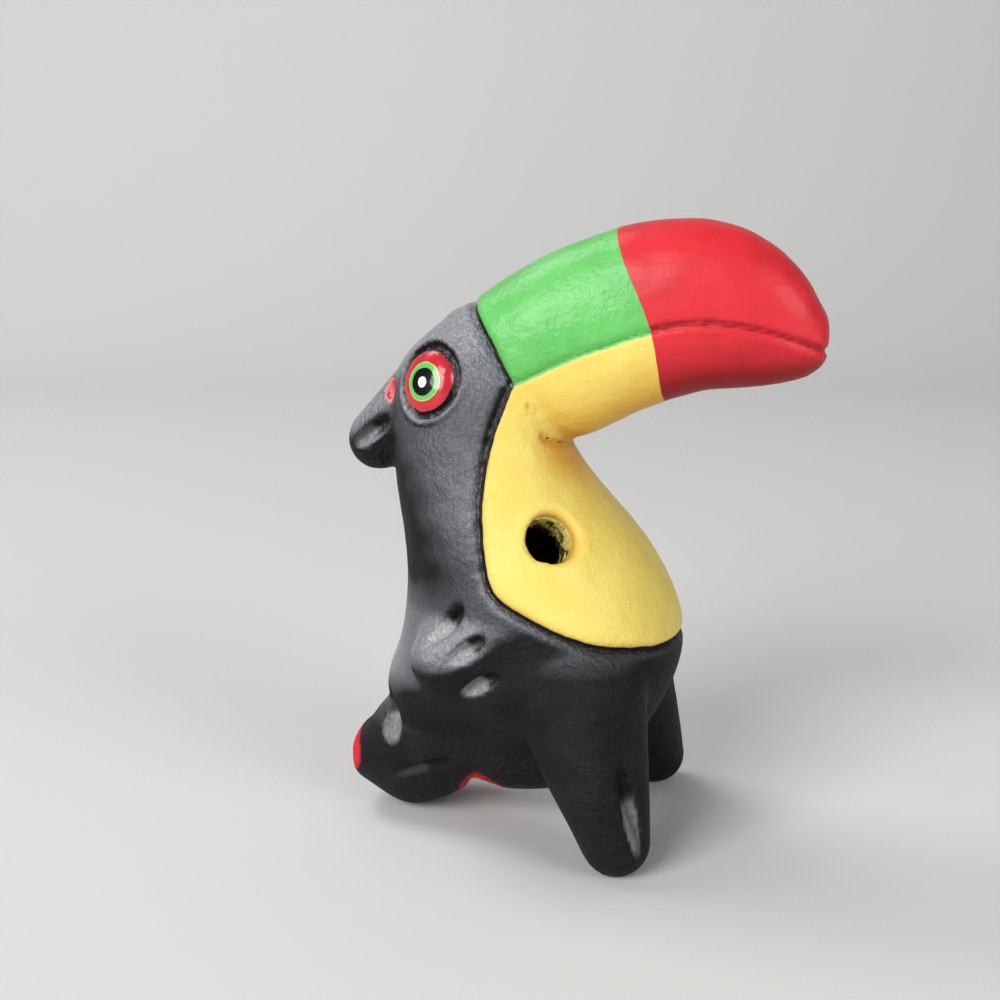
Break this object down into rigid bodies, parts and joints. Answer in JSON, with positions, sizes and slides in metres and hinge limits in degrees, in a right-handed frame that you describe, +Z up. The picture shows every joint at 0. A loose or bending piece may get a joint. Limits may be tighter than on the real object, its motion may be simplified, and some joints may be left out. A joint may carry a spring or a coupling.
{
  "type": "bird whistle",
  "caption": "Vessel whistle in the shape of a toucan: blown through the tail, sounded at a window under the belly, with finger holes in the breast.",
  "frame": {"origin": "middle of the bounding box, on the ground plane that the feet and tail stand on", "axes": "+X to the bird's front, where the beak points, +Y to the bird's left, +Z up"},
  "size_m": [0.07, 0.045, 0.0902],
  "materials": {
    "painted_clay": "satin painted"
  },
  "bodies": {
    "root": {"whistle_body": "painted_clay"}
  },
  "joints": []
}
